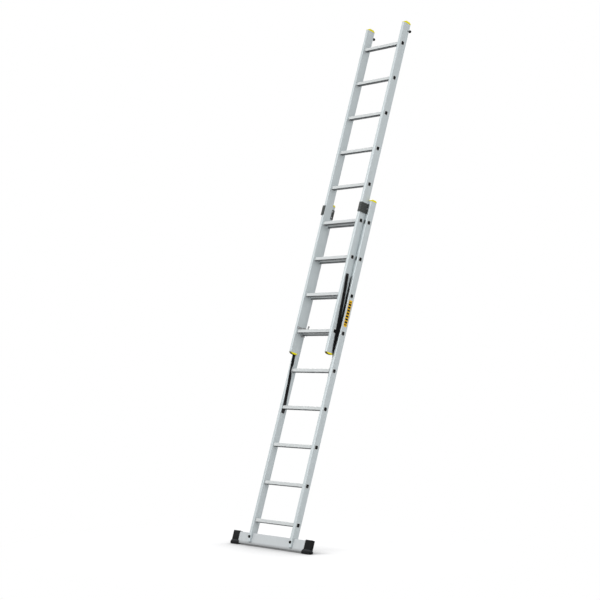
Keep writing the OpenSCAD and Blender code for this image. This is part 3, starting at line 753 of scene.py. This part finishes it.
# %% Soften the moulded and pressed pieces
for s in ("left", "right"):
    softened("base_top_cap_" + s, "cap_base_" + s, "base", "yellow_plastic", 2.2, YELLOW, 4)
    softened("fly_top_cap_" + s, "cap_fly_" + s, "fly", "yellow_plastic", 2.2, YELLOW, 4)
    softened("fly_foot_cap_" + s, "cap_fly_foot_" + s, "fly", "yellow_plastic", 1.8, YELLOW, 4)
    softened("guide_bracket_" + s, "guide_" + s, "base", "grey_plastic", 0.7, RIBBED)
    softened("rung_hook_" + s, "hook_" + s, "fly", "zinc_steel", 0.8, HOOK, shape=raise_spine)
    softened("hook_latch_" + s, "latch_" + s, "latch_" + s, "zinc_steel", 0.5, HOOK)
    softened("wall_buffer_" + s, "buffer_" + s, "fly", "black_rubber", 1.6, RUBBER, 4)
    softened("strap_plate_" + s, "strap_anchor_" + s, "base", "black_steel", 0.4, PAINTED,
             shape=trim_back)
softened("base_rung_plugs", "rung_ends_base", "base", "black_plastic", 0.7, BLACK, 2)
softened("fly_rung_plugs", "rung_ends_fly", "fly", "black_plastic", 0.7, BLACK, 2)
softened("bar_nut_pair", "bar_nuts", "base", "black_plastic", 0.5, BLACK, 2)
softened("glide_pad_set", "glide_pads", "base", "grey_plastic", 0.5, GREY, 2)

# %% [markdown]
# ## Straps
# Two straps of black webbing stop the upper section from being pulled out too far.
# Each is riveted to a plate at a base rung and bolted to the upper stile. Webbing is
# flat, so each strap is a long grid of small faces laid along the strap's line and
# given the webbing's thickness. Its own UV map runs along the strap in metres, so
# that the weave follows every bend. Cloth simulation would erase a strip this
# narrow. Near its ends the webbing is sewn down, and the thread is real geometry.

# %% The lines that the straps follow
# Up the stile, out from the rungs' centres, and the share of full width.
STRAP_TOP = [(1400, 34, 1), (1680, 50, 1), (1806, 60, 1), (1832, 62, 0.9)]
STRAP_LINES = {
    "left": [(864, 4, 1), (890, 5, 1), (1000, 12, 1), (1080, 17, 1), (1104, 24.4, 0.6),
             (1136, 25.2, 0.66), (1160, 23, 1), (1220, 25, 1)] + STRAP_TOP,
    "right": [(864, 4, 1), (890, 4, 1), (1000, 7, 1), (1080, 11, 1), (1104, 20.6, 0.33),
              (1136, 20.6, 0.33), (1160, 13, 0.9), (1220, 12.5, 0.95), (1280, 25, 1)] + STRAP_TOP}
STRAP_WIDE = 25.0
STRAP_THICK = 1.8
STRAP_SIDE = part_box("strap_right")[0][0] / MM
print("strap stands at", round(STRAP_SIDE, 1), "mm from the middle")


# %% A line through given points
def step_lengths(points):
    """The distances between neighbouring points of a line."""
    return [math.dist(a[:2], b[:2]) for a, b in zip(points, points[1:])]


def along_line(points, t):
    """A smooth place on a line of points, for t from 0 to 1 by distance."""
    steps = step_lengths(points)
    want = t * sum(steps)
    i = 0
    while i < len(steps) - 1 and want > steps[i]:
        want -= steps[i]
        i += 1
    f = min(1.0, max(0.0, want / steps[i]))
    p = [points[max(0, min(len(points) - 1, k))] for k in (i - 1, i, i + 1, i + 2)]
    value = []
    for a, b, c, d in zip(*p):
        m0, m1 = (c - a) / 2, (d - b) / 2
        value.append((2 * f**3 - 3 * f**2 + 1) * b + (f**3 - 2 * f**2 + f) * m0
                     + (3 * f**2 - 2 * f**3) * c + (f**3 - f**2) * m1)
    return value


def strap_spot(points, t, q):
    """The place at t along a strap and q mm across it, with the direction of its run."""
    here = along_line(points, t)
    ahead, behind = along_line(points, min(1, t + 0.004)), along_line(points, max(0, t - 0.004))
    run = Vector((ahead[0] - behind[0], ahead[1] - behind[1])).normalized()
    return here[0] - run.y * q * here[2], here[1] + run.x * q * here[2], run


# %% Webbing
def webbing(name, points, wide, lay, push, steps=140):
    """A strip of webbing laid by lay() along a line and thickened by push, in mm."""
    bm = bmesh.new()
    uv = bm.loops.layers.uv.new("webbing")
    bmesh.ops.create_grid(bm, x_segments=steps, y_segments=8, size=0.5)
    reach = sum(step_lengths(points))
    for f in bm.faces:
        for loop in f.loops:
            t, s = loop.vert.co.x + 0.5, loop.vert.co.y
            loop[uv].uv = (t * reach / 1000, s * wide / 1000)
    for v in bm.verts:
        a, b, _ = strap_spot(points, v.co.x + 0.5, v.co.y * wide)
        v.co = lay(a, b)
    grown = bmesh.ops.extrude_face_region(bm, geom=bm.faces[:])["geom"]
    bmesh.ops.translate(bm, vec=push, verts=corners(grown))
    bmesh.ops.recalc_face_normals(bm, faces=bm.faces)
    rim = [e for e in bm.edges if e.calc_face_angle(0) > 1.0]
    bmesh.ops.bevel(bm, geom=rim, offset=0.5, offset_type="OFFSET", segments=2, profile=0.5,
                    affect="EDGES", clamp_overlap=True, material=-1)
    bmesh.ops.transform(bm, matrix=LADDER, verts=bm.verts)
    return mesh_from(bm, name)


# %% Stitching
STITCH = 3.4
SEWN_LOW = (16, 62)  # where the sewn boxes stand, in mm from the nearer end
SEWN_HIGH = (92, 28)
SEWN_HALF = 9


def sewn_rows(d0, d1, half):
    """A sewn box with a cross in it, between two places along a strap."""
    return [(d0, -half, d1, -half), (d0, half, d1, half), (d0, -half, d0, half),
            (d1, -half, d1, half), (d0, -half, d1, half), (d0, half, d1, -half)]


def thread_rows(bm, points, rows, lift, lay, turn):
    """Stitches along straight rows (d0, q0, d1, q1), each a short rounded bead of thread."""
    reach = sum(step_lengths(points))
    for d0, q0, d1, q1 in rows:
        count = max(1, round(math.hypot(d1 - d0, q1 - q0) / STITCH))
        for k in range(count):
            f = (k + 0.5) / count
            a, b, run = strap_spot(points, (d0 + f * (d1 - d0)) / reach, q0 + f * (q1 - q0))
            slant = math.atan2(q1 - q0, d1 - d0) + math.atan2(run.y, run.x)
            bmesh.ops.create_uvsphere(
                bm, u_segments=6, v_segments=5, radius=1.0,
                matrix=Matrix.Translation(lay(a, b, lift)) @ turn(slant)
                @ Matrix.Diagonal((1.25, 0.42, 0.34, 1)))


# %% Both straps, with their stitching
def beside(side):
    """Lays a strap's line beside the stile on one side; lift raises a stitch off it."""
    def lay(u, n, lift=0.0):
        return Vector((side * (STRAP_SIDE + lift), u, n))
    return lay


def beside_turn(side):
    """Turns a stitch drawn flat into a strap that stands beside the stile."""
    def turn(angle):
        return Matrix(((0, 0, side, 0), (math.cos(angle), -math.sin(angle), 0, 0),
                       (math.sin(angle), math.cos(angle), 0, 0), (0, 0, 0, 1)))
    return turn


for side, s in ((-1, "left"), (1, "right")):
    line = STRAP_LINES[s]
    mesh = webbing("webbing_" + s, line, STRAP_WIDE, beside(side),
                   Vector((side * STRAP_THICK, 0, 0)))
    web = finished(mesh, "webbing_" + s, None, "black_webbing", WEBBING, "strap_" + s)
    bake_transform(web)
    reach = sum(step_lengths(line))
    rows = (sewn_rows(*SEWN_LOW, SEWN_HALF)
            + sewn_rows(reach - SEWN_HIGH[0], reach - SEWN_HIGH[1], SEWN_HALF))
    bm = bmesh.new()
    thread_rows(bm, line, rows, STRAP_THICK + 0.1, beside(side), beside_turn(side))
    bmesh.ops.recalc_face_normals(bm, faces=bm.faces)
    bmesh.ops.transform(bm, matrix=LADDER, verts=bm.verts)
    sewn = finished(mesh_from(bm, "stitching_" + s), "stitching_" + s, None, "black_webbing",
                    THREAD)
    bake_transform(sewn)
    print(web.name, len(web.data.polygons), "faces;", sewn.name, len(sewn.data.polygons))

# %% [markdown]
# ## The loose tail
# What is left of the right strap's webbing lies flat along the front edge of the base
# stile and is cut to a point at both ends. It is the same webbing, laid the other way.

# %% The tail
STILE_IN = (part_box("base_stile_right")[0][0]) / MM
TAIL_OUT = 27.7
TAIL_EDGE = [(1226, 1, 4), (1300, 1.5, 12), (1420, 1.5, 19), (1560, 1.5, 22), (1690, 1, 17),
             (1790, 0.6, 9), (1822, 0.4, 7)]
TAIL_LINE = [(u, STILE_IN + (a + b) / 2, (b - a) / STRAP_WIDE) for u, a, b in TAIL_EDGE]


def on_front(u, x):
    """Lays webbing on the front edge of the right base stile."""
    return Vector((x, u, TAIL_OUT))


mesh = webbing("webbing_tail", TAIL_LINE, STRAP_WIDE, on_front,
               Vector((0, 0, STRAP_THICK)), steps=60)
tail = finished(mesh, "webbing_tail", None, "black_webbing", WEBBING, "strap_tail_right")
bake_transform(tail)
print("tail faces:", len(mesh.polygons))

# %% [markdown]
# ## A plain sticker
# The right base stile carries a long narrow sticker. Here it is a plain amber strip
# with a row of dark blocks and no words. It is thin vinyl with rounded corners, so
# it is one face whose corners are bevelled, extruded by its thickness.

# %% The sticker
STICKER = dict(u0=1451, u1=1648, n0=-17, n1=13, thick=0.3)
SIDE_OUT = (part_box("base_stile_right")[1][0]) / MM
bm = bmesh.new()
bmesh.ops.create_grid(bm, x_segments=1, y_segments=1, size=0.5)
bmesh.ops.scale(bm, vec=(STICKER["u1"] - STICKER["u0"], STICKER["n1"] - STICKER["n0"], 1),
                verts=bm.verts)
bmesh.ops.bevel(bm, geom=bm.verts[:], offset=3, segments=5, profile=0.5, affect="VERTICES",
                material=-1)
uv = bm.loops.layers.uv.new("sticker")
grown = bmesh.ops.extrude_face_region(bm, geom=bm.faces[:])
bmesh.ops.translate(bm, vec=(0, 0, STICKER["thick"]), verts=corners(grown["geom"]))
bmesh.ops.recalc_face_normals(bm, faces=bm.faces)
for f in bm.faces:
    for loop in f.loops:
        loop[uv].uv = (loop.vert.co.x / 1000, loop.vert.co.y / 1000)
stand = Matrix.Translation((SIDE_OUT + 0.02, (STICKER["u0"] + STICKER["u1"]) / 2,
                            (STICKER["n0"] + STICKER["n1"]) / 2))
stand = stand @ Matrix(((0, 0, 1, 0), (1, 0, 0, 0), (0, 1, 0, 0), (0, 0, 0, 1)))
bmesh.ops.transform(bm, matrix=LADDER @ stand, verts=bm.verts)
mesh = mesh_from(bm, "side_sticker")
finished(mesh, "side_sticker", "base", "yellow_plastic", VINYL)
print("sticker corners:", len(mesh.vertices))

# %% [markdown]
# ## Rubber feet
# Each end of the cross bar stands in a moulded rubber boot: a square sleeve on a wide
# skirt with round ends, whose sole is level when the ladder leans at its working
# angle. Both are closed forms made in the same way, a flat outline with rounded
# corners that is extruded upwards ring by ring, growing or narrowing as it goes. The
# skirt's lowest rings are tipped to lie level on the floor, and strips across the
# sole are pushed in as tread grooves.

# %% Forms that rise ring by ring
def risen(bm, size, corner, rings):
    """Extrudes a rounded outline through rings (up, grow, tip), in mm; returns its base."""
    made = bmesh.ops.create_grid(bm, x_segments=1, y_segments=1, size=0.5)["verts"]
    u, grow, tip = rings[0]
    now = (size[0] + 2 * grow, size[1] + 2 * grow)
    bmesh.ops.scale(bm, vec=(*now, 1), verts=made)
    made = bmesh.ops.bevel(bm, geom=made, offset=corner, segments=9, profile=0.5,
                           affect="VERTICES", material=-1)["verts"]
    base = next(f for f in bm.faces if f.verts[0] in made)
    for v in base.verts:
        v.co.z = u + tip * v.co.y
    top = base
    for u, grow, tip in rings[1:]:
        grown = bmesh.ops.extrude_face_region(bm, geom=[top])["geom"]
        ring = corners(grown)
        top = next(g for g in grown if isinstance(g, bmesh.types.BMFace))
        new = (size[0] + 2 * grow, size[1] + 2 * grow)
        bmesh.ops.scale(bm, vec=(new[0] / now[0], new[1] / now[1], 1), verts=ring)
        for v in ring:
            v.co.z = u + tip * v.co.y
        now = new
    return base


# %% The feet
# The boot's own sizes, then its rings as (up, grow, tip): grow widens the outline, and
# tip slopes the ring so that the sole is level when the ladder leans.
FOOT = dict(out=450, long=76, deep=26, off=-1, heel=8, skirt_corner=11, sleeve_corner=4)
TREAD = dict(pitch=2.9, deep=2.4, under=-177)
TIP = 1 / math.tan(LEAN)
SKIRT = [(-186.3, -1.5, TIP), (-185.7, 1.4, TIP), (-184, 4.3, TIP), (-181, 6.6, 0.9 * TIP),
         (-177.5, 7.8, 0.7 * TIP), (-174, 8, 0.4 * TIP), (-170.5, 7.5, 0.2 * TIP), (-166.5, 6.2, 0),
         (-162.5, 4.3, 0), (-159, 2.3, 0), (-157, 0.8, 0)]
SLEEVE = [(-164, 0, 0), (-94, 0, 0), (-92, -0.3, 0), (-90.7, -1.1, 0), (-90.05, -2.6, 0)]


def rubber_foot(name, side, node):
    """A boot drawn as (across, back, up) in mm."""
    bm = bmesh.new()
    outline = (FOOT["long"], FOOT["deep"])
    sole = risen(bm, (outline[0] + FOOT["heel"], outline[1]), FOOT["skirt_corner"], SKIRT)
    bmesh.ops.translate(bm, vec=(-side * FOOT["heel"] / 2, 0, 0), verts=bm.verts)
    for k in range(-6, 7):
        low = [f for f in bm.faces
               if f is sole or max(v.co.z for v in f.verts) < TREAD["under"]]
        parts = {*low, *(e for f in low for e in f.edges), *(v for f in low for v in f.verts)}
        bmesh.ops.bisect_plane(bm, geom=list(parts), plane_co=(0, k * TREAD["pitch"], 0),
                               plane_no=(0, 1, 0))
        sole = None  # the first cut has split it into low faces
    bm.normal_update()
    level = Vector((0, -TIP, 1)).normalized()
    under = [f for f in bm.faces if f.normal.dot(level) < -0.99]
    strips = [f for f in under
              if math.floor(f.calc_center_median().y / TREAD["pitch"]) % 3 == 1]
    cut = bmesh.ops.extrude_face_region(bm, geom=strips)["geom"]
    bmesh.ops.translate(bm, vec=TREAD["deep"] * level, verts=corners(cut))
    bmesh.ops.delete(bm, geom=strips, context="FACES_ONLY")
    risen(bm, outline, FOOT["sleeve_corner"], SLEEVE)
    bmesh.ops.recalc_face_normals(bm, faces=bm.faces)
    middle = Vector((side * (FOOT["out"] - FOOT["long"] / 2), -FOOT["off"], 0))
    bmesh.ops.translate(bm, vec=middle, verts=bm.verts)
    stand = Matrix(((1, 0, 0, 0), (0, 0, 1, 0), (0, -1, 0, 0), (0, 0, 0, 1)))
    bmesh.ops.transform(bm, matrix=LADDER @ stand, verts=bm.verts)
    bmesh.ops.triangulate(bm, faces=bm.faces)
    return finished(mesh_from(bm, name), name, "base", "black_rubber", RUBBER, node)


for side, s in ((-1, "left"), (1, "right")):
    boot = rubber_foot("foot_" + s, side, "bar_foot_" + s)
    print(boot.name, "faces:", len(boot.data.polygons))
